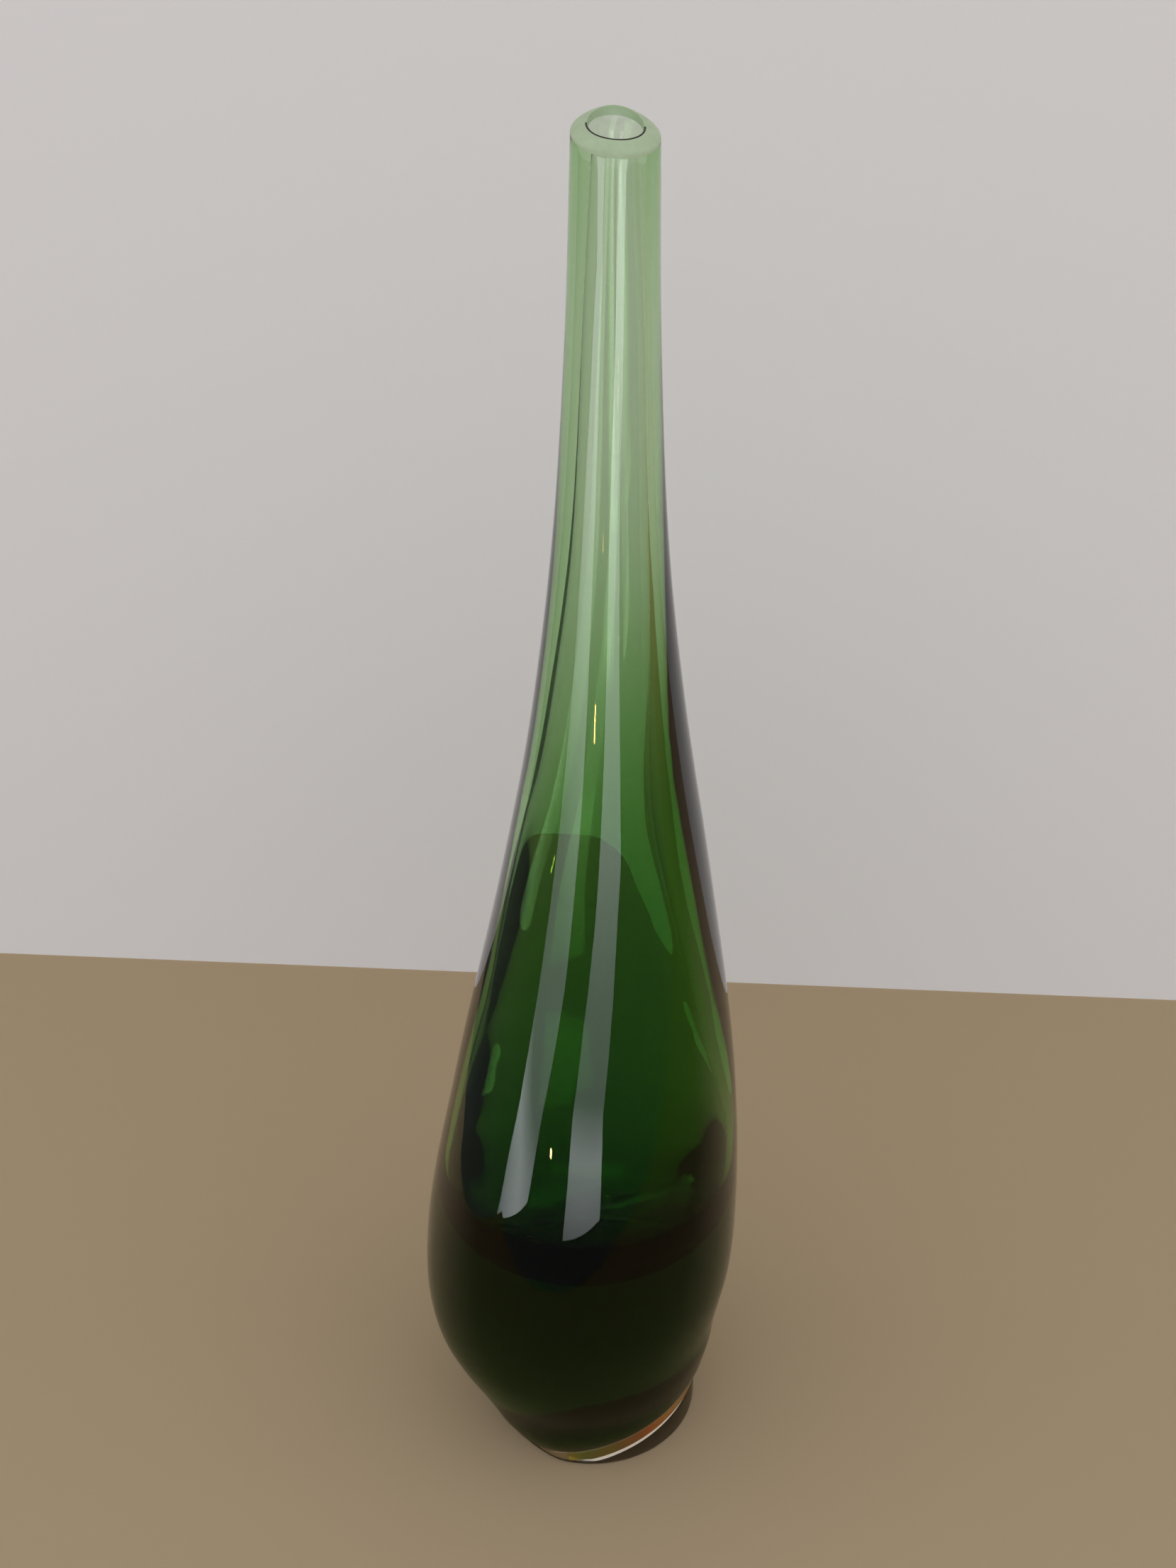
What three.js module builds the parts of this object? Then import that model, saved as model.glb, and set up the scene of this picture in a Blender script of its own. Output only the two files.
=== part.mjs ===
// Freeform bottle vase of cased glass, in millimetres, +Z up.
// A thick green core that leans and swells freely holds the bore, which is wide across and flat in depth.
// A thin clear casing lies round the core. It stands on a thin amber layer and a clear wedge of a foot.
// The origin is the centre of the ground face. The neck leans to +X and the belly swings to -X.
import * as THREE from 'three';

// Overall sizes
const vaseHeight = 400;
const bellyHeight = 64;
const bellyDiameter = 84;
const mouthDiameter = 19.6;
const footDiameter = 57.6;

// Sideways swing of the body's centre line from the centre of the foot
const bellySwing = -4.4;
const neckSwing = 4.1;
const mouthSwing = 4.8;

// Foot, and the slanted seam where the body was set down on it
const footThinSide = 1.2;
const seamSlope = THREE.MathUtils.degToRad(9.5);
const seamBearing = THREE.MathUtils.degToRad(-35);
const seamFadeLength = 58;
const waistDepth = 0.9;
const amberThickness = 1.2;

// Mouth, cut on a slight slant
const mouthSlope = THREE.MathUtils.degToRad(-4.5);
const mouthFadeLength = 60;
const lipRound = 0.4;

// Clear casing, thickest below the green core
const casingBellyWall = 3.2;
const casingMouthWall = 1.2;
const casingFloor = 6.2;

// Round lower end of the green core
const coreEndHeight = 24;

// Bore, a flattened bulb low in the belly that turns into a nearly round neck
const solidBaseThickness = 54.2;
const boreEndHeight = 30;
const boreBellyWidth = 60.8;
const boreBellyDepth = 36.4;
const boreMouthWidth = 11.6;
const boreMouthDepth = 13.2;
const boreEndSwing = -4.6;

// Clear space kept between two layers of glass
const layerGap = 0.3;

// Outline shares: pairs of a share of the height and a share of the swell
const underBellyShares = [[0.21, 0.4], [0.43, 0.7], [0.68, 0.91]];
const neckShares = [
  [0, 1], [0.17, 0.85], [0.39, 0.5], [0.52, 0.297], [0.67, 0.13], [0.84, 0.036], [1, 0],
];
const boreWidthShares = [
  [0, 1], [0.04, 0.97], [0.09, 0.875], [0.18, 0.69], [0.27, 0.54], [0.36, 0.4],
  [0.44, 0.29], [0.56, 0.195], [0.675, 0.125], [0.86, 0.05], [1, 0],
];
const boreDepthShares = [
  [0, 0.94], [0.04, 1], [0.09, 0.985], [0.156, 0.845], [0.22, 0.69], [0.286, 0.58],
  [0.35, 0.49], [0.45, 0.4], [0.56, 0.29], [0.675, 0.2], [0.86, 0.05], [1, 0],
];

// Swing and wall shares: pairs of a share of the height and a share of the change
const swingShares = [[0.05, 0.32], [0.09, 0], [0.16, 0.14], [0.3, 0.6], [0.49, 0.93], [0.73, 1]];
const boreSwingShares = [
  [0.15, 0], [0.19, 0.115], [0.23, 0.3], [0.26, 0.42], [0.3, 0.48], [0.37, 0.53],
  [0.44, 0.56], [0.51, 0.62], [0.57, 0.75], [0.66, 0.92], [0.73, 1],
];
const casingShares = [
  [0, 1], [0.15, 1], [0.25, 0.9], [0.5, 0.6], [0.66, 0.35], [0.75, 0.2], [0.89, 0.05], [1, 0],
];

// Rounded share of the foot's thin side
const footEdgeShare = 0.6;

// Facets
const segmentCount = 36;
const bodyRingCount = 30;
const tubeRingCount = 28;
const domeRingCount = 6;
const ringSpreadPower = 1.3;

// Sizes that follow from those above
const bellyRadius = bellyDiameter / 2;
const mouthRadius = mouthDiameter / 2;
const footRadius = footDiameter / 2;
const seamRadius = footRadius - waistDepth;
const footHeight = footThinSide + Math.tan(seamSlope) * footRadius;
const amberHeight = footHeight + layerGap;
const seamHeight = amberHeight + amberThickness + layerGap;
const coreBottom = seamHeight + casingFloor;
const coreShoulder = coreBottom + coreEndHeight;
const boreBottom = seamHeight + solidBaseThickness;
const boreShoulder = boreBottom + boreEndHeight;

const mix = THREE.MathUtils.lerp;

// Smooth curve through pairs of a height and a value, read at any height
function rail(pairs) {
  const heights = pairs.map((pair) => pair[0]);
  const values = pairs.map((pair) => pair[1]);
  const curve = new THREE.CubicInterpolant(heights, values, 1);
  return (height) => curve.evaluate(height)[0];
}

// Pairs of shares made into heights from low to high and values from none to full
function scaled(shares, low, high, none, full) {
  return shares.map(([height, share]) => [mix(low, high, height), mix(none, full, share)]);
}

const bodyRadius = rail([
  [seamHeight, seamRadius],
  ...scaled(underBellyShares, seamHeight, bellyHeight, footRadius, bellyRadius),
  ...scaled(neckShares, bellyHeight, vaseHeight, mouthRadius, bellyRadius),
]);

const bodySwing = rail([
  [0, 0],
  ...scaled(swingShares, 0, vaseHeight, bellySwing, neckSwing),
  [vaseHeight, mouthSwing],
]);

const casingWall = rail(scaled(casingShares, 0, vaseHeight, casingMouthWall, casingBellyWall));

const boreWidth = rail(
  scaled(boreWidthShares, boreShoulder, vaseHeight, boreMouthWidth / 2, boreBellyWidth / 2),
);

const boreDepth = rail(
  scaled(boreDepthShares, boreShoulder, vaseHeight, boreMouthDepth / 2, boreBellyDepth / 2),
);

const boreSwing = rail([
  ...scaled(boreSwingShares, 0, vaseHeight, boreEndSwing, neckSwing),
  [vaseHeight, mouthSwing],
]);

// Share of a slant that is left at a distance from the place where it is full
function fade(distance, length) {
  const left = THREE.MathUtils.clamp(1 - distance / length, 0, 1);
  return left * left;
}

// Lift that the slant of the seam and the slant of the mouth give to a point
function slantLift(x, y, height) {
  const aside = x - bodySwing(height);
  const uphill = aside * Math.cos(seamBearing) + y * Math.sin(seamBearing);
  const seamLift = Math.tan(seamSlope) * fade(height - seamHeight, seamFadeLength) * uphill;
  const mouthLift = Math.tan(mouthSlope) * fade(vaseHeight - height, mouthFadeLength) * aside;
  return seamLift + mouthLift;
}

// One ring of a body: its height, its centre along X, and its half width and half depth
function ring(height, centre, width, depth = width, slanted = true) {
  return { height, centre, width, depth, slanted };
}

// Body turned from its rings, which are then swung aside, made oval and slanted one by one
function turned(rings) {
  const profile = rings.map(({ width, height }) => new THREE.Vector2(width, height));
  const geometry = new THREE.LatheGeometry(profile, segmentCount);
  geometry.rotateX(Math.PI / 2);
  const points = geometry.attributes.position;
  for (let index = 0; index < points.count; index += 1) {
    const { height, centre, width, depth, slanted } = rings[index % rings.length];
    const x = centre + points.getX(index);
    const y = width > 0 ? (points.getY(index) * depth) / width : 0;
    const lift = slanted ? slantLift(x, y, height) : 0;
    points.setXYZ(index, x, y, height + lift);
  }
  geometry.computeVertexNormals();
  return geometry;
}

// Shares from 0 to 1, both ends included
function steps(count) {
  return Array.from({ length: count + 1 }, (_, index) => index / count);
}

// Rings of a round-ended tube from its closed end, past its shoulder and up to the mouth
function tubeRings(bottom, shoulder, ringAt) {
  const dome = steps(domeRingCount).slice(0, -1).map((share) => {
    const turn = (share * Math.PI) / 2;
    return ringAt(mix(shoulder, bottom, Math.cos(turn)), Math.sin(turn));
  });
  const tube = steps(tubeRingCount).map((share) => ringAt(mix(shoulder, vaseHeight, share), 1));
  return [...dome, ...tube];
}

// Rings of the casing's inner face, or of a face that keeps clear of it
function innerRings(clearance) {
  return tubeRings(coreBottom - layerGap + clearance, coreShoulder, (height, roundness) => {
    const width = bodyRadius(height) - casingWall(height) - clearance;
    return ring(height, bodySwing(height), width * roundness);
  });
}

// Green core: most of the glass, with the bore down its own centre line
function greenCore() {
  const bore = tubeRings(boreBottom, boreShoulder, (height, roundness) => {
    const width = boreWidth(height) * roundness;
    return ring(height, boreSwing(height), width, boreDepth(height) * roundness);
  });
  return turned([...innerRings(layerGap), ...bore.reverse()]);
}

// Clear casing: slanted underside, freeform outside, lip, and the hollow that holds the core
function clearCasing() {
  const underside = ring(seamHeight, bodySwing(seamHeight), 0);
  const outside = steps(bodyRingCount).map((share) => {
    const height = mix(seamHeight, vaseHeight - lipRound, share ** ringSpreadPower);
    return ring(height, bodySwing(height), bodyRadius(height));
  });
  const lip = ring(vaseHeight, mouthSwing, mouthRadius - lipRound);
  return turned([underside, ...outside, lip, ...innerRings(0).reverse()]);
}

// Amber layer: a thin slanted disc whose edge shows as a stripe round the seam
function amberLayer() {
  const top = amberHeight + amberThickness;
  const centre = bodySwing(seamHeight);
  return turned([
    ring(amberHeight, centre, 0),
    ring(amberHeight, centre, seamRadius),
    ring(top, centre, seamRadius),
    ring(top, centre, 0),
  ]);
}

// Clear foot: a wedge that is ground flat below and slanted above
function clearFoot() {
  const edgeRound = footThinSide * footEdgeShare;
  const groundRadius = footRadius - edgeRound;
  const centre = bodySwing(seamHeight);
  return turned([
    ring(0, 0, 0, 0, false),
    ring(0, 0, groundRadius, groundRadius, false),
    ring(edgeRound, 0, footRadius, footRadius, false),
    ring(footHeight, centre, seamRadius),
    ring(footHeight, centre, 0),
  ]);
}

// Finishes
const glass = { metalness: 0, roughness: 0.04, transparent: true };
const greenGlass = new THREE.MeshStandardMaterial({ ...glass, color: 0x2f6b26, opacity: 0.75 });
const clearGlass = new THREE.MeshStandardMaterial({ ...glass, color: 0xdfe6dc, opacity: 0.3 });
const amberGlass = new THREE.MeshStandardMaterial({ ...glass, color: 0xd8812c, opacity: 0.7 });
const footGlass = new THREE.MeshStandardMaterial({ ...glass, color: 0xe2e6de, opacity: 0.3 });

function named(name, geometry, material) {
  const mesh = new THREE.Mesh(geometry, material);
  mesh.name = name;
  return mesh;
}

const vase = new THREE.Group();
vase.add(named('green_core', greenCore(), greenGlass));
vase.add(named('clear_casing', clearCasing(), clearGlass));
vase.add(named('amber_layer', amberLayer(), amberGlass));
vase.add(named('clear_foot', clearFoot(), footGlass));

export default vase;
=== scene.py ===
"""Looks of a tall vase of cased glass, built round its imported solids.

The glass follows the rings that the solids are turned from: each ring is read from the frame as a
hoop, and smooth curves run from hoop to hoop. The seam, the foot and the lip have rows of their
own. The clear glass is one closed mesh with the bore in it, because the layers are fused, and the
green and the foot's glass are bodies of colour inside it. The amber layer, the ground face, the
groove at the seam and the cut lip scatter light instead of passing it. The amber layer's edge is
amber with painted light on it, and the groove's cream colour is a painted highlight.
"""

import logging
import math
from collections.abc import Callable
from dataclasses import dataclass, field
from enum import Enum, IntEnum

import bmesh
import bpy
from mathutils import Matrix, Vector


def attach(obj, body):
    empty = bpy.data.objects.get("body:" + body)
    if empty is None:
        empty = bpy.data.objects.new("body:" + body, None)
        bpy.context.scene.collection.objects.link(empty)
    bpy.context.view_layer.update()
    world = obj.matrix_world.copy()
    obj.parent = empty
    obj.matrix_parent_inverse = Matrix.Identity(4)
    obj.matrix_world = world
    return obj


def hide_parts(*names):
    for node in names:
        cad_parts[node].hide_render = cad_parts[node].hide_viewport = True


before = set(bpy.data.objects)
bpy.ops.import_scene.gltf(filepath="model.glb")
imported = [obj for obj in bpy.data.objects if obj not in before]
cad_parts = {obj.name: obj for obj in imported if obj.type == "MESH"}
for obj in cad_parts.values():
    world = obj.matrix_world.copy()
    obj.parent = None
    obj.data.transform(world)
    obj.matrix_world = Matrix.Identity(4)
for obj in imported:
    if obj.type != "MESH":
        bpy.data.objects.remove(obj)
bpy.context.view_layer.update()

BODY = "root"
MM = 0.001
POLE_SIZE = 1e-9

Colour = tuple[float, float, float]
Socket = bpy.types.NodeSocket

log = logging.getLogger("vase")


class Node(Enum):
    """The solids of the frame that this script reads."""

    CORE = "green_core"
    CASING = "clear_casing"
    AMBER = "amber_layer"
    FOOT = "clear_foot"


class Slot(Enum):
    """The record's material slots."""

    GREEN = "green_glass"
    CLEAR = "clear_glass"
    AMBER = "amber_glass"
    FOOT = "foot_glass"


class ShellSkin(IntEnum):
    """The materials of the clear glass's faces, in the order in which the piece has them."""

    GLASS = 0
    GROUND = 1
    # The groove's faces carry a painted highlight
    GROOVE_HIGHLIGHT = 2
    LIP = 3


class AmberSkin(IntEnum):
    """The materials of the amber layer's faces, in the order in which the piece has them."""

    SIDES = 0
    # The edge's faces, amber with painted light
    EDGE = 1


@dataclass(frozen=True)
class Hoop:
    """One ring of a turned body: an ellipse given by its centre and its two half axes."""

    centre: Vector
    along: Vector
    across: Vector

    def point(self, cosine: float, sine: float) -> Vector:
        """Give the point of the hoop at an angle, named by its cosine and sine."""
        return self.centre + self.along * cosine + self.across * sine

    def grown(self, margin: float) -> "Hoop":
        """Give the hoop with both half axes longer by a margin, down to nothing."""
        along, across = (self._longer(axis, margin) for axis in (self.along, self.across))
        return Hoop(self.centre, along, across)

    def moved(self, offset: Vector) -> "Hoop":
        """Give the hoop carried along by an offset."""
        return Hoop(self.centre + offset, self.along, self.across)

    def blended(self, other: "Hoop", share: float) -> "Hoop":
        """Give the hoop that lies between this one and another at a share of the way."""
        return Hoop(
            self.centre.lerp(other.centre, share),
            self.along.lerp(other.along, share),
            self.across.lerp(other.across, share),
        )

    @staticmethod
    def _longer(axis: Vector, margin: float) -> Vector:
        """Lengthen one half axis, or shorten it to nothing at most.

        Args:
            axis: the half axis.
            margin: how much longer it becomes.

        Returns:
            The new half axis. A pole's half axis stays nothing.
        """
        if axis.length < POLE_SIZE:
            return axis.copy()
        return axis * max(0.0, (axis.length + margin) / axis.length)


class SolidRings:
    """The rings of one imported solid, from its lowest pole to its other pole."""

    POLE_EDGES = 20
    WELD = 1e-6

    def __init__(self, node: Node) -> None:
        """Read the rings.

        Args:
            node: the solid to read.
        """
        mesh = bmesh.new()
        mesh.from_mesh(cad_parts[node.value].data)
        bmesh.ops.remove_doubles(mesh, verts=mesh.verts, dist=self.WELD)
        self.hoops = [self._hoop(layer) for layer in self._layers(mesh)]
        mesh.free()

    def _layers(self, mesh: bmesh.types.BMesh) -> list[list[bmesh.types.BMVert]]:
        """Sort the vertices by how many edges lie between them and the lowest pole.

        Args:
            mesh: the solid, with its doubles merged.

        Returns:
            The vertices of each ring, from the lowest pole on.
        """
        poles = [vert for vert in mesh.verts if len(vert.link_edges) > self.POLE_EDGES]
        layer = [min(poles, key=lambda vert: vert.co.z)]
        seen = set(layer)
        layers = []
        while layer:
            layers.append(layer)
            reached = {edge.other_vert(vert) for vert in layer for edge in vert.link_edges}
            layer = [vert for vert in reached if vert not in seen]
            seen.update(layer)
        return layers

    @staticmethod
    def _hoop(layer: list[bmesh.types.BMVert]) -> Hoop:
        """Fit a hoop to the vertices of one ring.

        Args:
            layer: the ring's vertices, or a pole alone.

        Returns:
            The hoop.
        """
        points = [vert.co for vert in layer]
        if len(points) == 1:
            return Hoop(points[0].copy(), Vector(), Vector())
        lows = Vector(min(p[axis] for p in points) for axis in range(3))
        highs = Vector(max(p[axis] for p in points) for axis in range(3))
        half = (highs - lows) / 2
        middle = (highs + lows) / 2
        middle.z = sum(p.z for p in points) / len(points)
        lean = []
        for axis in range(2):
            offsets = [(p[axis] - middle[axis], p.z - middle.z) for p in points]
            lean.append(sum(a * rise for a, rise in offsets) / sum(a * a for a, rise in offsets))
        along = Vector((half.x, 0, lean[0] * half.x))
        across = Vector((0, half.y, lean[1] * half.y))
        return Hoop(middle, along, across)


def smooth_hoops(hoops: list[Hoop], parts: int) -> list[Hoop]:
    """Run a smooth curve through hoops.

    Args:
        hoops: the hoops that the curve passes.
        parts: how many steps to make between two of them.

    Returns:
        The hoops along the curve, first and last included.
    """
    padded = [hoops[0], *hoops, hoops[-1]]
    made = []
    for before, start, end, after in zip(padded, padded[1:], padded[2:], padded[3:]):
        for step in range(parts):
            made.append(_on_curve((before, start, end, after), step / parts))
    return [*made, hoops[-1]]


def _on_curve(hoops: tuple[Hoop, Hoop, Hoop, Hoop], share: float) -> Hoop:
    """Give the hoop at a share of the way between the second and third of four hoops.

    Args:
        hoops: four hoops that follow each other.
        share: the share of the way.

    Returns:
        The hoop on the curve.
    """
    square, cube = share * share, share ** 3
    weights = (
        (2 * square - cube - share) / 2,
        (3 * cube - 5 * square + 2) / 2,
        (4 * square - 3 * cube + share) / 2,
        (cube - square) / 2,
    )
    parts = ([h.centre for h in hoops], [h.along for h in hoops], [h.across for h in hoops])
    return Hoop(*(sum((v * w for v, w in zip(vectors, weights)), Vector()) for vectors in parts))


def soft_step(share: float) -> float:
    """Ease a share in and out between 0 and 1."""
    step = min(1.0, max(0.0, share))
    return step * step * (3 - 2 * step)


@dataclass(frozen=True)
class Seam:
    """The plane where the body was set down on its foot. It rises to +X and meets the ground at -X.

    The foot stands out in full where a direction's cosine is above one limit, and not at all where
    it is below the other.
    """

    middle: float = 1.5 * MM
    slope: float = 9.5 / 28.6
    bare: float = -0.75
    full: float = -0.25

    def height(self, place: Vector) -> float:
        """Give the plane's height over a place."""
        return self.middle + self.slope * place.x

    def share(self, cosine: float) -> float:
        """Give how much of the foot stands out in a direction, from none to all."""
        return soft_step((cosine - self.bare) / (self.full - self.bare))


SEAM = Seam()


@dataclass(frozen=True)
class SeamRow:
    """One row of points round the foot, which ends in the body where there is no foot.

    It keeps a rise above the seam, but isn't lower than a least height, and without a rise it lies
    flat at that height. Its radii are those on the foot's side and on the bare side.
    """

    foot_radius: float
    bare_radius: float
    least: float
    rise: float | None = None
    bare_centre: float = -1.2 * MM

    def point(self, cosine: float, sine: float) -> Vector:
        """Give the point of the row at an angle.

        Args:
            cosine: the angle's cosine.
            sine: the angle's sine.

        Returns:
            The point.
        """
        share = SEAM.share(cosine)
        radius = self.bare_radius + (self.foot_radius - self.bare_radius) * share
        centre = self.bare_centre * (1 - share)
        place = Vector((centre + radius * cosine, radius * sine, self.least))
        if self.rise is not None:
            place.z = max(self.least, SEAM.height(place) + self.rise)
        return place


@dataclass(frozen=True)
class BlendedRow:
    """A row on the curve that leaves one row and meets a hoop in the direction of the next hoop."""

    start: SeamRow
    end: Hoop
    following: Hoop
    share: float
    reach: float = 0.6

    def point(self, cosine: float, sine: float) -> Vector:
        """Give the point of the row at an angle.

        Args:
            cosine: the angle's cosine.
            sine: the angle's sine.

        Returns:
            The point.
        """
        start, end = self.start.point(cosine, sine), self.end.point(cosine, sine)
        bend = end - (self.following.point(cosine, sine) - end) * self.reach
        return start.lerp(bend, self.share).lerp(bend.lerp(end, self.share), self.share)


# Shares of the way from the outer to the inner edge of the lip, and of its fall to the outside
LIP_PROFILE = (
    (0.0, 1.6), (0.01, 1.35), (0.04, 1.15), (0.1, 0.98), (0.2, 0.82), (0.4, 0.57), (0.6, 0.37),
    (0.78, 0.2), (0.87, 0.11), (0.92, 0.04), (0.96, 0.02), (0.99, 0.07), (1.0, 0.15), (1.0, 0.3),
)


@dataclass(frozen=True)
class LipRow:
    """A row on the lip, which falls softly from the edge of the bore to the outside.

    It falls more before and behind the bore than beside it, and stands a little higher there.
    """

    outer: Hoop
    inner: Hoop
    across: float
    fall: float
    lift: float = 0.6 * MM
    side_slope: float = 0.36
    front_slope: float = 0.62

    def point(self, cosine: float, sine: float) -> Vector:
        """Give the point of the row at an angle.

        Args:
            cosine: the angle's cosine.
            sine: the angle's sine.

        Returns:
            The point.
        """
        outer, inner = self.outer.point(cosine, sine), self.inner.point(cosine, sine)
        slope = self.side_slope * cosine * cosine + self.front_slope * sine * sine
        place = outer.lerp(inner, self.across)
        place.z += self.lift * sine * sine - (outer - inner).length * slope * self.fall
        return place


Row = Hoop | SeamRow | BlendedRow | LipRow
Skin = Callable[[int, Vector], int]


def object_of(name: str, mesh: bmesh.types.BMesh) -> bpy.types.Object:
    """Put a mesh into the scene.

    Args:
        name: the object's name.
        mesh: its mesh, which is freed.

    Returns:
        The object.
    """
    data = bpy.data.meshes.new(name)
    mesh.to_mesh(data)
    mesh.free()
    made = bpy.data.objects.new(name, data)
    bpy.context.scene.collection.objects.link(made)
    return made


class TurnedMesh:
    """A closed mesh that is spun as a plain tube and then drawn over rows of points."""

    WELD = 0.01

    def __init__(self, name: str, rows: list[Row], sides: int, skin: Skin) -> None:
        """Spin the tube and give each of its rings the place of a row.

        Args:
            name: the piece's name.
            rows: from one pole to the other.
            sides: how many sides each ring has.
            skin: tells which material a face has from its row and the way that it looks.
        """
        mesh = bmesh.new()
        last = len(rows) - 1
        radii = [0.0 if step in (0, last) else 1.0 for step in range(len(rows))]
        line = [mesh.verts.new((radius, 0.0, step)) for step, radius in enumerate(radii)]
        edges = [mesh.edges.new(pair) for pair in zip(line, line[1:])]
        bmesh.ops.spin(
            mesh, geom=line + edges, cent=(0, 0, 0), axis=(0, 0, 1), angle=math.tau, steps=sides,
            use_merge=True,
        )
        bmesh.ops.remove_doubles(mesh, verts=mesh.verts, dist=self.WELD)
        for face in mesh.faces:
            middle = face.calc_center_median()
            face.material_index = skin(math.floor(middle.z), middle)
        for vert in mesh.verts:
            vert.co = rows[round(vert.co.z)].point(vert.co.x, vert.co.y)
        bmesh.ops.recalc_face_normals(mesh, faces=mesh.faces)
        if mesh.calc_volume(signed=True) < 0:
            bmesh.ops.reverse_faces(mesh, faces=mesh.faces)
        for face in mesh.faces:
            face.smooth = True
        self.piece = object_of(name, mesh)


class NodeTree:
    """Short ways to add nodes to a material and join them."""

    MIX_SHARE = 0
    MIX_LOW = 6
    MIX_HIGH = 7
    MIX_COLOUR = 2

    def __init__(self, material: bpy.types.Material) -> None:
        """Open the material's tree, with its shader and output as they come.

        Args:
            material: the material to dress.
        """
        material.use_nodes = True
        self.tree = material.node_tree
        self.output = self.tree.nodes["Material Output"]
        self.shader = self.tree.nodes["Principled BSDF"]

    def add(self, kind: str, **values: object) -> bpy.types.Node:
        """Add a node and set its plain properties.

        Args:
            kind: the node's type name after "ShaderNode".
            **values: properties of the node by name.

        Returns:
            The node.
        """
        node = self.tree.nodes.new("ShaderNode" + kind)
        for name, value in values.items():
            setattr(node, name, value)
        return node

    def join(self, source: Socket, target: Socket) -> None:
        """Lead one socket into another."""
        self.tree.links.new(source, target)

    def maths(self, operation: str, first: object, second: object) -> Socket:
        """Work out one number from two.

        Args:
            operation: the Math node's operation.
            first: a socket or a number.
            second: a socket or a number.

        Returns:
            The result's socket.
        """
        node = self.add("Math", operation=operation)
        for slot, given in zip(node.inputs, (first, second)):
            if isinstance(given, Socket):
                self.join(given, slot)
            else:
                slot.default_value = given
        return node.outputs[0]

    def blend(self, share: Socket, low: Colour, high: Colour) -> Socket:
        """Give a colour between two by a share.

        Args:
            share: the share of the second colour.
            low: the first colour.
            high: the second colour.

        Returns:
            The colour's socket.
        """
        node = self.add("Mix", data_type="RGBA")
        self.join(share, node.inputs[self.MIX_SHARE])
        node.inputs[self.MIX_LOW].default_value = (*low, 1)
        node.inputs[self.MIX_HIGH].default_value = (*high, 1)
        return node.outputs[self.MIX_COLOUR]

    def ramp(self, share: Socket, stops: list[tuple[float, Colour]]) -> Socket:
        """Give a colour from stops by a share.

        Args:
            share: the place on the ramp.
            stops: each stop's place and colour, from 0 to 1.

        Returns:
            The colour's socket.
        """
        node = self.add("ValToRGB")
        self.join(share, node.inputs[0])
        for place, _ in stops[1:-1]:
            node.color_ramp.elements.new(place)
        for element, (_, colour) in zip(node.color_ramp.elements, stops):
            element.color = (*colour, 1)
        return node.outputs[0]

    def place(self) -> bpy.types.NodeOutputs:
        """Give the parts of a point's place on its piece.

        Returns:
            The sockets X, Y and Z.
        """
        apart = self.add("SeparateXYZ")
        self.join(self.add("TexCoord").outputs["Object"], apart.inputs[0])
        return apart.outputs

    def uneven(self, scale: float, length: float) -> Socket:
        """Give a soft pattern.

        Args:
            scale: how fine it is.
            length: how much it is drawn out in height.

        Returns:
            The pattern's socket, from 0 to 1.
        """
        node = self.add("Group", node_tree=Unevenness.group())
        node.inputs["Scale"].default_value = scale
        node.inputs["Length"].default_value = length
        return node.outputs["Mask"]

    def raise_bumps(self, height: Socket, distance: float) -> None:
        """Make the surface uneven.

        Args:
            height: the pattern of the bumps.
            distance: how high they are.
        """
        node = self.add("Bump")
        node.inputs["Distance"].default_value = distance
        self.join(height, node.inputs["Height"])
        self.join(node.outputs[0], self.shader.inputs["Normal"])


class Unevenness:
    """A shader group that gives a soft, slow pattern: cords in glass, or a hand-worked surface."""

    NAME = "unevenness"

    @classmethod
    def group(cls) -> bpy.types.NodeTree:
        """Give the group, made at its first use."""
        made = bpy.data.node_groups.get(cls.NAME)
        return made or cls._make()

    @classmethod
    def _make(cls) -> bpy.types.NodeTree:
        """Make the group.

        Returns:
            The group, with a place on the piece turned into a mask from 0 to 1.
        """
        made = bpy.data.node_groups.new(cls.NAME, "ShaderNodeTree")
        for name, value in (("Scale", 40.0), ("Length", 1.0), ("Detail", 2.0)):
            socket = made.interface.new_socket(name, in_out="INPUT", socket_type="NodeSocketFloat")
            socket.default_value = value
        made.interface.new_socket("Mask", in_out="OUTPUT", socket_type="NodeSocketFloat")
        given = made.nodes.new("NodeGroupInput")
        result = made.nodes.new("NodeGroupOutput")
        place = made.nodes.new("ShaderNodeTexCoord")
        apart = made.nodes.new("ShaderNodeSeparateXYZ")
        shorter = made.nodes.new("ShaderNodeMath")
        shorter.operation = "DIVIDE"
        joined = made.nodes.new("ShaderNodeCombineXYZ")
        noise = made.nodes.new("ShaderNodeTexNoise")
        for source, target in (
            (place.outputs["Object"], apart.inputs[0]),
            (apart.outputs["Z"], shorter.inputs[0]),
            (given.outputs["Length"], shorter.inputs[1]),
            (apart.outputs["X"], joined.inputs["X"]),
            (apart.outputs["Y"], joined.inputs["Y"]),
            (shorter.outputs[0], joined.inputs["Z"]),
            (joined.outputs[0], noise.inputs["Vector"]),
            (given.outputs["Scale"], noise.inputs["Scale"]),
            (given.outputs["Detail"], noise.inputs["Detail"]),
            (noise.outputs["Fac"], result.inputs["Mask"]),
        ):
            made.links.new(source, target)
        return made


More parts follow.
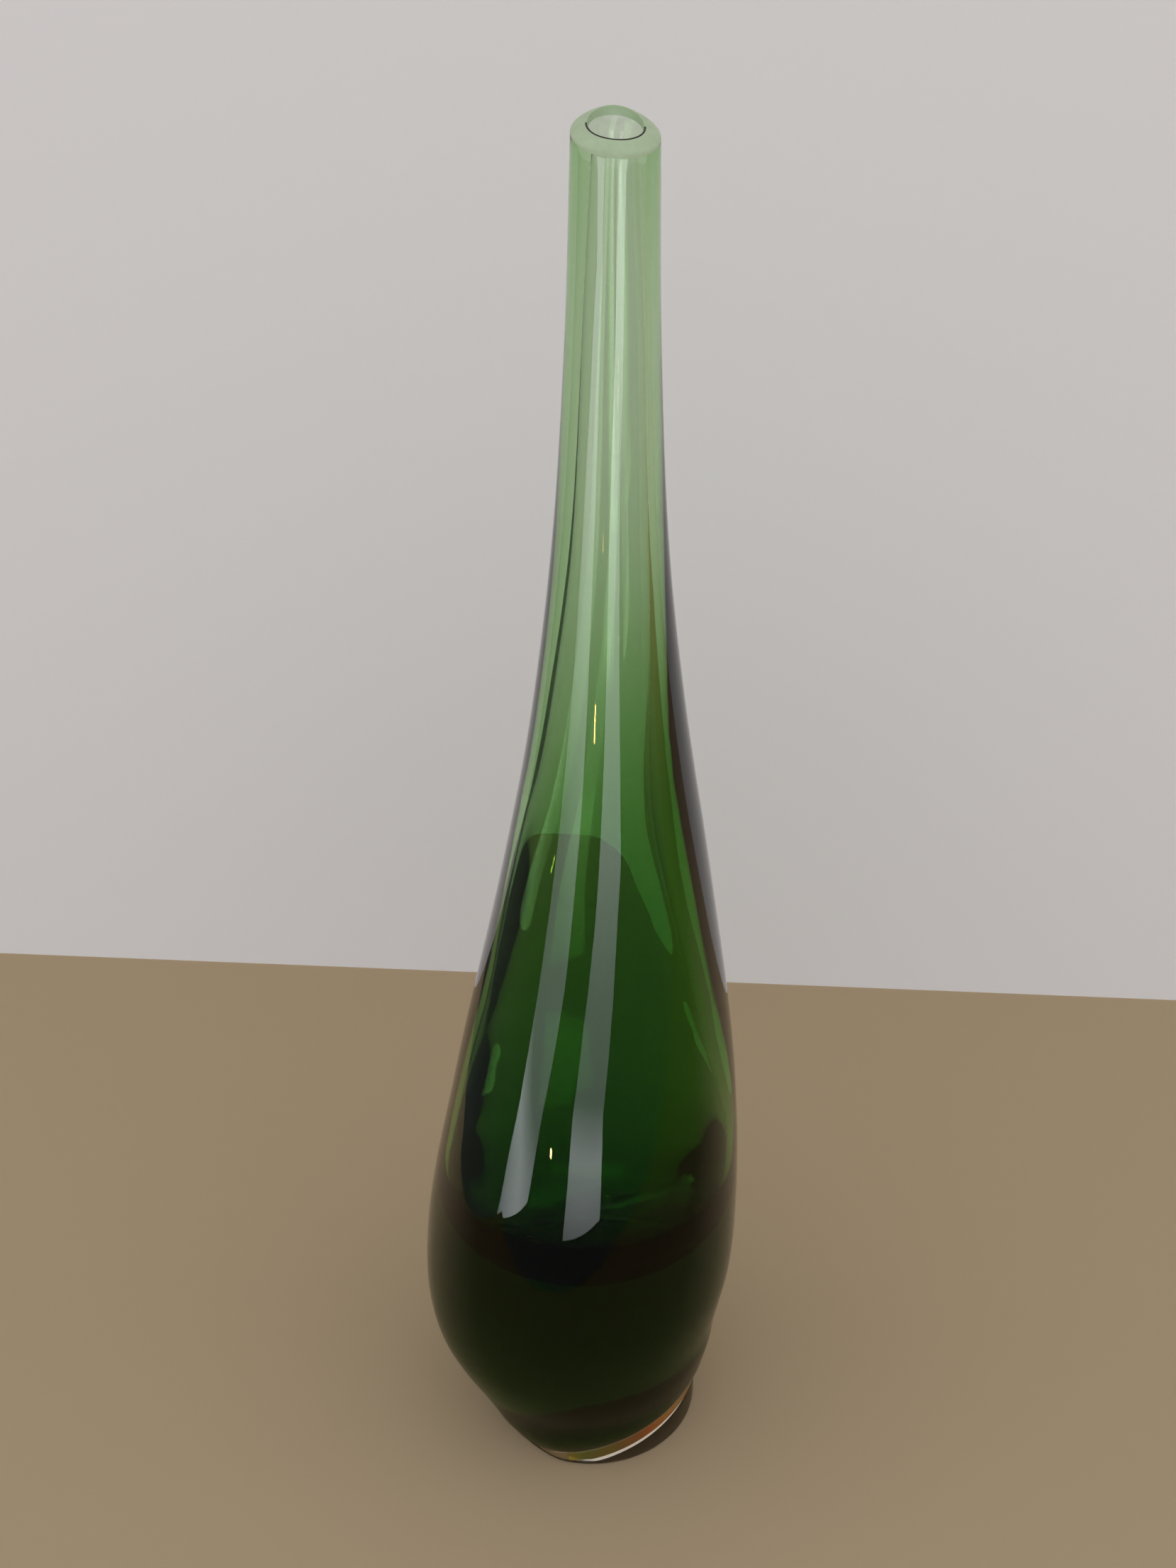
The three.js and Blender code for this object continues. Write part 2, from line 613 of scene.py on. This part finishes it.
@dataclass(frozen=True)
class GlassFinish:
    """A glass: how it bends light, how much of each colour a metre of it takes, and its cords."""

    name: str
    ior: float
    loss_per_metre: Colour
    cord_colour: Colour
    cord_scale: float
    cord_length: float
    wave_scale: float = 30.0
    wave_length: float = 2.0
    wave_height: float = 0.0

    def material(self) -> bpy.types.Material:
        """Make the material.

        Returns:
            The material, whose volume takes the light away.
        """
        made = bpy.data.materials.new(self.name)
        tree = NodeTree(made)
        shader = tree.shader
        cords = tree.uneven(self.cord_scale, self.cord_length)
        tree.join(tree.blend(cords, (1, 1, 1), self.cord_colour), shader.inputs["Base Color"])
        shader.inputs["Metallic"].default_value = 0
        shader.inputs["Roughness"].default_value = 0
        shader.inputs["IOR"].default_value = self.ior
        shader.inputs["Transmission Weight"].default_value = 1
        if self.wave_height > 0:
            tree.raise_bumps(tree.uneven(self.wave_scale, self.wave_length), self.wave_height)
        volume = tree.add("VolumeAbsorption")
        density = max(self.loss_per_metre)
        kept = [1 - loss / density for loss in self.loss_per_metre]
        volume.inputs["Color"].default_value = (*kept, 1)
        volume.inputs["Density"].default_value = density
        tree.join(volume.outputs["Volume"], tree.output.inputs["Volume"])
        return made


@dataclass(frozen=True)
class SolidFinish:
    """A surface that light doesn't pass, such as ground glass, with two colours in soft patches."""

    name: str
    roughness: float
    colour: Colour
    patch_colour: Colour
    patch_scale: float
    grain_scale: float = 900.0
    grain_height: float = 0.02 * MM
    roughness_spread: float = 0.2

    def material(self) -> bpy.types.Material:
        """Make the material.

        Returns:
            The material, which is opaque.
        """
        made = bpy.data.materials.new(self.name)
        tree = NodeTree(made)
        patches = tree.uneven(self.patch_scale, 1.0)
        tree.join(self._colour(tree, patches), tree.shader.inputs["Base Color"])
        spread = tree.maths("MULTIPLY", patches, self.roughness_spread)
        roughness = tree.maths("ADD", spread, self.roughness - self.roughness_spread / 2)
        tree.join(roughness, tree.shader.inputs["Roughness"])
        tree.raise_bumps(tree.uneven(self.grain_scale, 1.0), self.grain_height)
        return made

    def _colour(self, tree: NodeTree, patches: Socket) -> Socket:
        """Give the colour of the surface."""
        return tree.blend(patches, self.colour, self.patch_colour)


@dataclass(frozen=True)
class AmberPaintedLightStripe(SolidFinish):
    """The amber layer's edge, which turns from yellow and olive to red and orange along X.

    Its bands are partly the amber's own colour and partly painted light, the light that the amber
    glass refracts.
    """

    bands: tuple[tuple[float, Colour], ...] = ()
    border_shift: float = 8 * MM

    def _colour(self, tree: NodeTree, patches: Socket) -> Socket:
        """Give the colour of the stripe: amber with painted light, in bands with soft and uneven
        borders.

        Args:
            tree: the material's nodes.
            patches: the pattern that moves the borders.

        Returns:
            The colour's socket.
        """
        low, high = self.bands[0][0], self.bands[-1][0]
        shift = tree.maths("MULTIPLY", tree.maths("SUBTRACT", patches, 0.5), self.border_shift)
        place = tree.maths("SUBTRACT", tree.maths("ADD", tree.place()["X"], shift), low)
        stops = [((across - low) / (high - low), colour) for across, colour in self.bands]
        return tree.ramp(tree.maths("DIVIDE", place, high - low), stops)


# Radius on the foot's side and on the bare side, least height and rise above the seam, in mm
FOOT_PROFILE = (
    (14.0, 13.0, 0.0, None),
    (25.0, 23.0, 0.0, None),
    (27.8, 25.0, 0.0, None),
    (28.3, 25.4, 0.0, None),
    (28.65, 25.8, 0.15, None),
    (28.85, 26.1, 0.45, None),
    (28.9, 26.3, 0.9, None),
    (28.9, 26.4, 1.1, -1.2),
    (28.85, 26.5, 1.3, -0.85),
    (28.7, 26.6, 1.5, -0.55),
    (28.4, 26.65, 1.65, -0.2),
    (28.15, 26.7, 1.8, 0.05),
    (28.05, 26.8, 2.0, 0.5),
    (28.3, 26.9, 2.2, 0.9),
    (28.9, 27.0, 2.4, 1.05),
    (29.3, 27.2, 2.7, 1.3),
    (29.6, 27.5, 3.2, 1.8),
    (29.8, 27.9, 3.8, 2.6),
    (30.0, 28.3, 4.6, 3.6),
    (30.2, 28.7, 5.5, 4.8),
    (30.5, 29.1, 6.5, 6.0),
    (30.8, 29.5, 7.5, 7.2),
)
FOOT_BODY = (
    (0.0, 0.0, 0.3, None),
    (20.0, 18.0, 0.3, None),
    (27.4, 25.0, 0.3, None),
    (27.4, 25.0, 0.4, -0.3),
    (20.0, 18.0, 0.4, -0.3),
    (0.0, 0.0, 0.4, -0.3),
)
AMBER_PROFILE = (
    (0.0, 0.0, 1.2, 0.5),
    (10.0, 9.0, 1.2, 0.5),
    (20.0, 18.0, 1.2, 0.5),
    (27.8, 25.0, 1.2, 0.6),
    (28.0, 25.2, 1.3, 0.95),
    (28.6, 25.4, 1.4, 1.15),
    (29.0, 25.5, 1.5, 1.4),
    (29.3, 25.6, 1.6, 1.9),
    (29.5, 25.7, 1.7, 2.7),
    (29.7, 25.8, 1.8, 3.7),
    (29.9, 25.9, 1.9, 4.9),
    (30.15, 26.0, 2.0, 6.0),
    (30.35, 26.1, 2.1, 6.8),
    (29.6, 25.8, 2.2, 7.0),
    (24.0, 21.0, 2.2, 5.2),
    (10.0, 9.0, 2.2, 4.8),
    (0.0, 0.0, 2.2, 4.8),
)

# Rows of the shell and of the amber layer that have a material of their own
GROUND_ROWS = range(0, 4)
GROOVE_ROWS = range(10, 14)
AMBER_EDGE_ROWS = range(3, 12)

# Cosines where the groove and the amber layer's edge end on the bare side
GROOVE_END = -0.12
AMBER_END = -0.2

# Shares of the green's first row that its floor has rows at
GREEN_FLOOR_SHARES = (0.0, 0.35, 0.7, 0.92, 0.98)

# Bodies of colour bend no light, because they lie inside the clear glass that does
CLEAR = GlassFinish(
    "clear_glass", ior=1.5, loss_per_metre=(5.0, 4.0, 6.0), cord_colour=(0.97, 0.98, 0.96),
    cord_scale=60.0, cord_length=6.0, wave_scale=28.0, wave_height=0.12 * MM,
)
GREEN = GlassFinish(
    "green_glass", ior=1.0, loss_per_metre=(99.0, 43.5, 124.0), cord_colour=(0.9, 0.96, 0.86),
    cord_scale=150.0, cord_length=12.0,
)
FOOT = GlassFinish(
    "foot_glass", ior=1.0, loss_per_metre=(4.0, 4.0, 6.0), cord_colour=(0.95, 0.95, 0.93),
    cord_scale=90.0, cord_length=1.0,
)
AMBER = SolidFinish("amber_glass", 0.5, (0.25, 0.16, 0.07), (0.16, 0.12, 0.06), 60.0)
# The amber edge's bands are partly the amber's own colour and partly painted light, the light that
# the amber glass refracts
AMBER_EDGE_PAINTED_LIGHT = AmberPaintedLightStripe(
    "amber_edge_painted_light", 0.4, (0.68, 0.3, 0.06), (0.6, 0.3, 0.06), 160.0, bands=(
        (-9 * MM, (0.42, 0.26, 0.03)), (-2 * MM, (0.2, 0.2, 0.03)), (5 * MM, (0.27, 0.17, 0.03)),
        (11 * MM, (0.36, 0.14, 0.03)), (15 * MM, (0.6, 0.16, 0.03)), (21 * MM, (0.7, 0.3, 0.05)),
        (30 * MM, (0.75, 0.38, 0.1)),
    ),
)
GROUND = SolidFinish("ground_face", 0.6, (0.34, 0.22, 0.11), (0.2, 0.15, 0.09), 120.0)
# The groove's cream colour is a painted highlight: opaque, it stands in for the bright light that
# the seam's edge reflects
GROOVE_HIGHLIGHT = SolidFinish("seam_groove_highlight", 0.35, (0.85, 0.74, 0.58), (0.72, 0.58, 0.42), 260.0)
CUT_LIP = SolidFinish("cut_lip", 0.4, (0.46, 0.56, 0.37), (0.34, 0.45, 0.26), 400.0)


@dataclass
class Vase:
    """The vase's glass: one clear body with the bore in it, and the colours inside."""

    sides: int = 144
    parts: int = 5
    corner_parts: int = 6
    first_body_ring: int = 3
    clearance: float = 0.1 * MM
    inset: float = 0.05 * MM
    lip_reach: float = 0.9 * MM
    lip_edge_steps: int = 6
    mouth_length: float = 4.0 * MM
    mouth_width: float = 6.1 * MM
    mouth_depth: float = 7.5 * MM
    mouth_shift: float = 0.9 * MM
    core_below_lip: float = 0.6 * MM
    core_shoulder: float = 36.0 * MM
    shoulder_gap: float = 3.0 * MM
    casing_wall: float = 3.5 * MM
    foot_wall: float = 4.5 * MM
    green_share: float = 0.6
    green_least: float = 2.6 * MM
    green_rise: float = 5.4 * MM
    green_turn: float = 24.0 * MM
    green_foot_radius: float = 23.0 * MM
    green_bare_radius: float = 21.0 * MM
    green_lip_share: float = 0.08
    clear: GlassFinish = CLEAR
    green: GlassFinish = GREEN
    amber: SolidFinish = AMBER
    # The amber edge: amber colour with painted light
    amber_edge_painted_light: AmberPaintedLightStripe = AMBER_EDGE_PAINTED_LIGHT
    foot: GlassFinish = FOOT
    ground: SolidFinish = GROUND
    # The groove's finish is a painted highlight
    groove: SolidFinish = GROOVE_HIGHLIGHT
    cut_lip: SolidFinish = CUT_LIP
    core_rings: list[Hoop] = field(init=False)
    casing_rings: list[Hoop] = field(init=False)
    foot_rings: list[Hoop] = field(init=False)
    outside: list[Hoop] = field(init=False)
    bore: list[Hoop] = field(init=False)
    lip_rows: range = field(init=False)
    lip_edge_rows: range = field(init=False)

    def __post_init__(self) -> None:
        """Read the rings of the solids and run smooth curves through the outside and the bore."""
        self.core_rings = SolidRings(Node.CORE).hoops
        self.casing_rings = SolidRings(Node.CASING).hoops
        self.foot_rings = SolidRings(Node.FOOT).hoops
        self.outside = self._outside()
        self.bore = self._bore()

    def _mouth_index(self, hoops: list[Hoop]) -> int:
        """Find the last of the highest hoops, where the bore starts."""
        top = max(hoop.centre.z for hoop in hoops)
        return max(i for i, hoop in enumerate(hoops) if top - hoop.centre.z < self.clearance)

    def _opened(self, hoop: Hoop, top: float) -> Hoop:
        """Open a hoop of the bore towards the mouth, where the wall is thin before and behind it.

        Args:
            hoop: one of the bore's hoops.
            top: the mouth's height.

        Returns:
            The wider hoop.
        """
        mouth = Hoop(
            hoop.centre + Vector((0, self.mouth_shift, 0)),
            hoop.along.normalized() * self.mouth_width,
            hoop.across.normalized() * self.mouth_depth,
        )
        return hoop.blended(mouth, soft_step(1 - (top - hoop.centre.z) / self.mouth_length))

    def _bore(self) -> list[Hoop]:
        """Run a smooth curve through the bore.

        Returns:
            The bore's hoops, from the mouth down to its pole.
        """
        hoops = smooth_hoops(self.core_rings[self._mouth_index(self.core_rings):], self.parts)
        top = hoops[0].centre.z
        near = top - self.mouth_length
        return [self._opened(hoop, top) if hoop.centre.z > near else hoop for hoop in hoops]

    def _outside(self) -> list[Hoop]:
        """Run a smooth curve through the casing's outside.

        Returns:
            Its hoops, from the foot up to the mouth's plane.
        """
        mouth = self._mouth_index(self.casing_rings)
        widest = [hoop.along.length for hoop in self.casing_rings]
        lip = max(i for i in range(mouth) if widest[i] > widest[mouth] + self.clearance)
        hoops = smooth_hoops(self.casing_rings[self.first_body_ring:lip], self.parts)
        rise = self.casing_rings[mouth].centre.z - hoops[-1].centre.z
        hoops[-1] = hoops[-1].moved(Vector((0, 0, rise)))
        return [hoop.grown(-self.inset) for hoop in hoops]

    def _foot(self, following: list[Hoop]) -> list[Row]:
        """Give the rows of the ground face, the foot, the seam and the body's start."""
        rows = self._profile(FOOT_PROFILE)
        return [*rows, *self._start(rows[-1], following)]

    def _start(self, row: SeamRow, following: list[Hoop]) -> list[Row]:
        """Give the rows between the seam and the first of the hoops that follow."""
        shares = [step / self.corner_parts for step in range(1, self.corner_parts)]
        return [BlendedRow(row, following[0], following[1], share) for share in shares]

    def _lip(self, outer: Hoop, inner: Hoop) -> list[Row]:
        """Give the rows of a lip between two hoops of the mouth."""
        return [LipRow(outer, inner, across, fall) for across, fall in LIP_PROFILE]

    def shell(self) -> list[Row]:
        """Lay out the clear glass, and note which of its rows are the lip's.

        Returns:
            The rows of the ground face, the foot, the seam, the body, the lip and the bore.
        """
        lip = self._lip(self.outside[-1], self.bore[0])
        reach = self.bore[0].centre.z - self.lip_reach
        bore = [hoop for hoop in self.bore if hoop.centre.z < reach]
        below = [self.foot_rings[0], *self._foot(self.outside[::self.parts]), *self.outside[:-1]]
        start, end = len(below), len(below) + len(lip)
        self.lip_rows = range(start, end - self.lip_edge_steps)
        self.lip_edge_rows = range(end - self.lip_edge_steps, end)
        return [*below, *lip, *bore]

    def _wall(self, height: float) -> float:
        """Give how thick the clear glass is at a height below the core's shoulder."""
        step = max(0.0, 1 - height / self.core_shoulder)
        return self.casing_wall + self.foot_wall * step * step

    def _between(self, inner: Hoop) -> Hoop:
        """Give the hoop between one of the bore and the casing's outside at the same height.

        Args:
            inner: the bore's hoop.

        Returns:
            The hoop at the green's share of the way out.
        """
        after = next(i for i, hoop in enumerate(self.outside) if hoop.centre.z >= inner.centre.z)
        low, high = self.outside[after - 1], self.outside[after]
        share = (inner.centre.z - low.centre.z) / (high.centre.z - low.centre.z)
        return inner.blended(low.blended(high, share), self.green_share)

    def core(self) -> list[Row]:
        """Lay out the green glass.

        Returns:
            The rows of its floor, its outside up to the neck, its lip and its bore.
        """
        start = SeamRow(
            self.green_foot_radius, self.green_bare_radius, self.green_least, self.green_rise,
        )
        floor = [
            SeamRow(start.foot_radius * share, start.bare_radius * share, start.least, start.rise)
            for share in GREEN_FLOOR_SHARES
        ]
        bore = [hoop.grown(self.clearance) for hoop in self.bore]
        top = bore[0].centre.z
        mouth = top - self.mouth_length
        reach = top - self.lip_reach - self.core_below_lip
        shoulder = self.core_shoulder
        low = [
            hoop.grown(-self._wall(hoop.centre.z))
            for hoop in self.outside if self.green_turn < hoop.centre.z < shoulder
        ]
        rings = smooth_hoops(self.core_rings[:self._mouth_index(self.core_rings)], self.parts)
        high = [hoop for hoop in rings if shoulder + self.shoulder_gap < hoop.centre.z < mouth]
        neck = [self._between(hoop) for hoop in bore[::-1] if mouth < hoop.centre.z < reach]
        down = Vector((0, 0, -self.core_below_lip))
        outer, inner = (
            bore[0].blended(self.outside[-1], share).moved(down)
            for share in (self.green_share, self.green_lip_share)
        )
        below = [hoop.moved(Vector((0, 0, -self.clearance))) for hoop in bore]
        below = [hoop for hoop in below if hoop.centre.z < reach]
        below[-1] = Hoop(below[-1].centre, Vector(), Vector())
        side = [*self._start(start, low[:2]), *low, *high, *neck]
        return [*floor, start, *side, *self._lip(outer, inner), *below]

    @staticmethod
    def _profile(rows: tuple[tuple[float, float, float, float | None], ...]) -> list[Row]:
        """Make rows that follow the seam from their sizes in millimetres."""
        return [
            SeamRow(foot * MM, bare * MM, least * MM, None if rise is None else rise * MM)
            for foot, bare, least, rise in rows
        ]

    def _shell_skin(self, row: int, way: Vector) -> int:
        """Tell which material a face of the shell has. The lip's edge is glass on the near side.

        Args:
            row: the face's row.
            way: the way that the face looks, in X and Y.

        Returns:
            The material's place on the piece.
        """
        if row in GROUND_ROWS:
            return ShellSkin.GROUND
        if row in GROOVE_ROWS and way.x > GROOVE_END:
            return ShellSkin.GROOVE_HIGHLIGHT
        if row in self.lip_rows or row in self.lip_edge_rows and way.y > 0:
            return ShellSkin.LIP
        return ShellSkin.GLASS

    @staticmethod
    def _amber_skin(row: int, way: Vector) -> int:
        """Tell which material a face of the amber layer has: its broad sides' or its edge's."""
        return AmberSkin.EDGE if row in AMBER_EDGE_ROWS and way.x > AMBER_END else AmberSkin.SIDES

    def build(self) -> None:
        """Build and dress the four bodies of glass."""
        shell = (self.clear, self.ground, self.groove, self.cut_lip)
        amber = (self.amber, self.amber_edge_painted_light)
        self._add("vase_glass", self.shell(), shell, Node.CASING)
        self._add("core_colour", self.core(), (self.green,), Node.CORE)
        self._add("amber_colour", self._profile(AMBER_PROFILE), amber, Node.AMBER)
        self._add("foot_glass", self._profile(FOOT_BODY), (self.foot,), Node.FOOT)

    def _add(
        self, name: str, rows: list[Row], finishes: tuple[GlassFinish | SolidFinish, ...],
        node: Node,
    ) -> None:
        """Make one piece, dress it, hang it on the body and hide the solid that it replaces.

        Args:
            name: the piece's name.
            rows: its rows, from one pole to the other.
            finishes: its materials, in the order of its skin.
            node: the solid that it replaces.
        """
        skins = {Node.CASING: self._shell_skin, Node.AMBER: self._amber_skin}
        piece = TurnedMesh(name, rows, self.sides, skins.get(node, lambda row, way: 0)).piece
        for finish in finishes:
            piece.data.materials.append(finish.material())
        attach(piece, BODY)
        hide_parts(node.value)
        log.info("%s: %d faces", name, len(piece.data.polygons))


def sheet(
    name: str, width: float, depth: float, place: Matrix, material: bpy.types.Material,
) -> bpy.types.Object:
    """Make a flat sheet of the room.

    Args:
        name: the sheet's name.
        width: its length along X before it is placed.
        depth: its length along Y before it is placed.
        place: where it goes.
        material: what it is made of.

    Returns:
        The sheet.
    """
    mesh = bmesh.new()
    size = Matrix.Diagonal((width, depth, 1, 1))
    bmesh.ops.create_grid(mesh, x_segments=1, y_segments=1, size=0.5, matrix=place @ size)
    made = object_of(name, mesh)
    made.data.materials.append(material)
    return made


@dataclass
class Room:
    """Floor and backdrop, placed as the table and the wall stand in the photograph."""

    floor_drop: float = 0.1 * MM
    floor_size: float = 6.0
    table_left: float = -0.18
    table_front: float = -0.172
    corner_front: float = -0.156
    corner_slope: float = -0.31
    shade_start: float = 0.06
    shade_end: float = -0.04
    shade_colour: Colour = (0.16, 0.12, 0.06)
    below_floor: float = -0.8
    wall_left: Vector = Vector((-0.194, 0.187, 0))
    wall_right: Vector = Vector((0.189, 0.164, 0))
    wall_length: float = 3.0
    wall_height: float = 2.0
    floor_colour: Colour = (0.42, 0.32, 0.20)
    wall_colour: Colour = (0.86, 0.85, 0.86)
    below_colour: Colour = (0.13, 0.13, 0.13)
    floor_roughness: float = 0.7
    wall_roughness: float = 0.8

    def build(self) -> None:
        """Lay the floor and stand the backdrop on it."""
        size = self.floor_size
        high = Matrix.Translation((0, 0, -self.floor_drop))
        low = Matrix.Translation((0, 0, self.below_floor))
        sheet("floor", size, size, high, self._floor())
        sheet("below_floor", size, size, low, self._below())
        run = self.wall_right - self.wall_left
        turned = Matrix.Rotation(math.atan2(run.y, run.x), 4, "Z")
        foot = Matrix.Translation((self.wall_left + self.wall_right) / 2)
        raised = Matrix.Translation((0, 0, self.wall_height / 2))
        place = foot @ turned @ raised @ Matrix.Rotation(math.pi / 2, 4, "X")
        sheet("backdrop", self.wall_length, self.wall_height, place, self._wall())

    def _floor(self) -> bpy.types.Material:
        """Make the floor's material: mirrored in the glass, it ends where the table does.

        Returns:
            The material.
        """
        made = bpy.data.materials.new("floor")
        tree = NodeTree(made)
        mirrored = tree.add("LightPath").outputs["Is Glossy Ray"]
        tree.shader.inputs["Roughness"].default_value = self.floor_roughness
        tree.shader.inputs["Specular IOR Level"].default_value = 0
        place = tree.place()
        across, along = place["X"], place["Y"]
        slant = tree.maths("MULTIPLY", across, self.corner_slope)
        corner = tree.maths("ADD", slant, self.corner_front)
        left = tree.maths("LESS_THAN", across, self.table_left)
        front = tree.maths("LESS_THAN", along, tree.maths("MAXIMUM", corner, self.table_front))
        past = tree.maths("MAXIMUM", left, front)
        self._hide(tree, tree.maths("MULTIPLY", past, mirrored))
        nearness = tree.add("MapRange")
        nearness.inputs["From Min"].default_value = self.shade_start
        nearness.inputs["From Max"].default_value = self.shade_end
        tree.join(along, nearness.inputs["Value"])
        share = tree.maths("MULTIPLY", nearness.outputs[0], mirrored)
        colour = tree.blend(share, self.floor_colour, self.shade_colour)
        tree.join(colour, tree.shader.inputs["Base Color"])
        return made

    def _below(self) -> bpy.types.Material:
        """Make the dark that the glass mirrors past the table's edge.

        Returns:
            The material.
        """
        made = bpy.data.materials.new("below_floor")
        tree = NodeTree(made)
        tree.shader.inputs["Base Color"].default_value = (*self.below_colour, 1)
        return made

    @staticmethod
    def _hide(tree: NodeTree, share: Socket) -> None:
        """Make a material's surface see-through.

        Args:
            tree: the material's nodes.
            share: how much of it light passes.
        """
        mixed = tree.add("MixShader")
        tree.join(share, mixed.inputs[0])
        tree.join(tree.shader.outputs[0], mixed.inputs[1])
        tree.join(tree.add("BsdfTransparent").outputs[0], mixed.inputs[2])
        tree.join(mixed.outputs[0], tree.output.inputs["Surface"])

    def _wall(self) -> bpy.types.Material:
        """Make the backdrop's material, which the camera looks through from behind.

        Returns:
            The material.
        """
        made = bpy.data.materials.new("backdrop")
        tree = NodeTree(made)
        tree.shader.inputs["Base Color"].default_value = (*self.wall_colour, 1)
        tree.shader.inputs["Roughness"].default_value = self.wall_roughness
        behind = tree.add("NewGeometry").outputs["Backfacing"]
        seen = tree.add("LightPath").outputs["Is Camera Ray"]
        self._hide(tree, tree.maths("MULTIPLY", behind, seen))
        return made


@dataclass(frozen=True)
class Strip:
    """A strip of light that stands in front of the vase and only shows in its glass.

    Its rungs run from its lower end up. Each has its left end, across and up in metres, and its
    right end. Its levels pair a height with the light's strength there.
    """

    name: str
    rungs: tuple[tuple[tuple[float, float], tuple[float, float]], ...]
    levels: tuple[tuple[float, float], ...]
    colour: Colour
    distance: float = 0.2

    def build(self) -> None:
        """Make the strip."""
        mesh = bmesh.new()
        bmesh.ops.create_grid(mesh, x_segments=1, y_segments=len(self.rungs) - 1, size=1)
        for vert in mesh.verts:
            rung = self.rungs[round((vert.co.y + 1) / 2 * (len(self.rungs) - 1))]
            across, height = rung[0] if vert.co.x < 0 else rung[1]
            vert.co = Vector((across, -self.distance, height))
        made = object_of(self.name, mesh)
        made.data.materials.append(self._glow())
        made.visible_camera = False
        made.visible_diffuse = False
        made.visible_shadow = False

    def _glow(self) -> bpy.types.Material:
        """Make the strip's material, whose strength follows the levels.

        Returns:
            The material.
        """
        made = bpy.data.materials.new(self.name)
        tree = NodeTree(made)
        glow = tree.add("Emission")
        glow.inputs["Color"].default_value = (*self.colour, 1)
        low, high = self.levels[0][0], self.levels[-1][0]
        strongest = max(strength for _, strength in self.levels)
        share = tree.maths("DIVIDE", tree.maths("SUBTRACT", tree.place()["Z"], low), high - low)
        stops = [
            ((height - low) / (high - low), (strength / strongest,) * 3)
            for height, strength in self.levels
        ]
        strength = tree.maths("MULTIPLY", tree.ramp(share, stops), strongest)
        tree.join(strength, glow.inputs["Strength"])
        tree.join(glow.outputs[0], tree.output.inputs["Surface"])
        return made


COOL = (0.93, 0.98, 1.0)
GLINT_DISTANCE = 0.198
STRIPS = (
    Strip(
        "left_strip",
        (
            ((-0.494, -0.206), (-0.198, -0.034)), ((-0.385, -0.073), (-0.175, 0.022)),
            ((-0.342, 0.009), (-0.135, 0.085)), ((-0.335, 0.06), (-0.124, 0.135)),
            ((-0.3, 0.12), (-0.122, 0.18)), ((-0.22, 0.2), (-0.115, 0.225)),
            ((-0.175, 0.235), (-0.104, 0.25)), ((-0.185, 0.29), (-0.09, 0.31)),
            ((-0.19, 0.35), (-0.08, 0.35)),
        ),
        ((-0.2, 1.3), (-0.06, 3.6), (0.0, 1.3), (0.08, 1.6), (0.15, 3.0), (0.35, 4.0)),
        COOL,
    ),
    Strip(
        "right_strip",
        (
            ((-0.065, -0.01), (0.018, 0.002)), ((-0.066, 0.051), (0.012, 0.053)),
            ((-0.054, 0.089), (0.026, 0.09)), ((-0.035, 0.12), (0.04, 0.12)),
            ((-0.028, 0.142), (0.053, 0.138)), ((-0.012, 0.183), (0.057, 0.178)),
            ((-0.002, 0.217), (0.068, 0.211)), ((0.02, 0.25), (0.09, 0.243)),
            ((0.05, 0.35), (0.125, 0.35)),
        ),
        ((-0.01, 1.3), (0.032, 3.6), (0.06, 1.3), (0.1, 1.6), (0.15, 3.0), (0.35, 4.0)),
        COOL,
    ),
    Strip(
        "high_glint",
        (((-0.0717, 0.16), (-0.0662, 0.16)), ((-0.0717, 0.1695), (-0.0662, 0.1695))),
        ((0.16, 60.0), (0.1695, 60.0)),
        (1.0, 0.5, 0.13),
        GLINT_DISTANCE,
    ),
    Strip(
        "low_glint",
        (((-0.125, 0.0155), (-0.119, 0.0155)), ((-0.125, 0.021), (-0.119, 0.021))),
        ((0.0155, 60.0), (0.021, 60.0)),
        (1.0, 0.6, 0.25),
        GLINT_DISTANCE,
    ),
)


@dataclass
class Studio:
    """Camera, strips of light and world."""

    lens: float = 78.93
    place: Vector = Vector((-0.0011, -0.661, 0.748))
    pitch: float = math.radians(38.6)
    world_colour: Colour = (0.95, 0.96, 1.0)
    world_strength: float = 1.0
    most_bounces: int = 32
    glossy_bounces: int = 16

    def build(self) -> None:
        """Set the camera and the light."""
        scene = bpy.context.scene
        data = bpy.data.cameras.new("camera")
        data.lens = self.lens
        camera = bpy.data.objects.new("camera", data)
        camera.location = self.place
        camera.rotation_euler = (math.pi / 2 - self.pitch, 0, 0)
        scene.collection.objects.link(camera)
        scene.camera = camera
        world = bpy.data.worlds.new("world")
        world.use_nodes = True
        sky = world.node_tree.nodes["Background"]
        sky.inputs["Color"].default_value = (*self.world_colour, 1)
        sky.inputs["Strength"].default_value = self.world_strength
        scene.world = world
        scene.view_settings.view_transform = "Standard"
        scene.cycles.max_bounces = self.most_bounces
        scene.cycles.transmission_bounces = self.most_bounces
        scene.cycles.glossy_bounces = self.glossy_bounces
        for strip in STRIPS:
            strip.build()


def main() -> None:
    """Build the vase, the room and the studio."""
    logging.basicConfig(level=logging.INFO)
    Vase().build()
    Room().build()
    Studio().build()


if __name__ == "__main__":
    main()
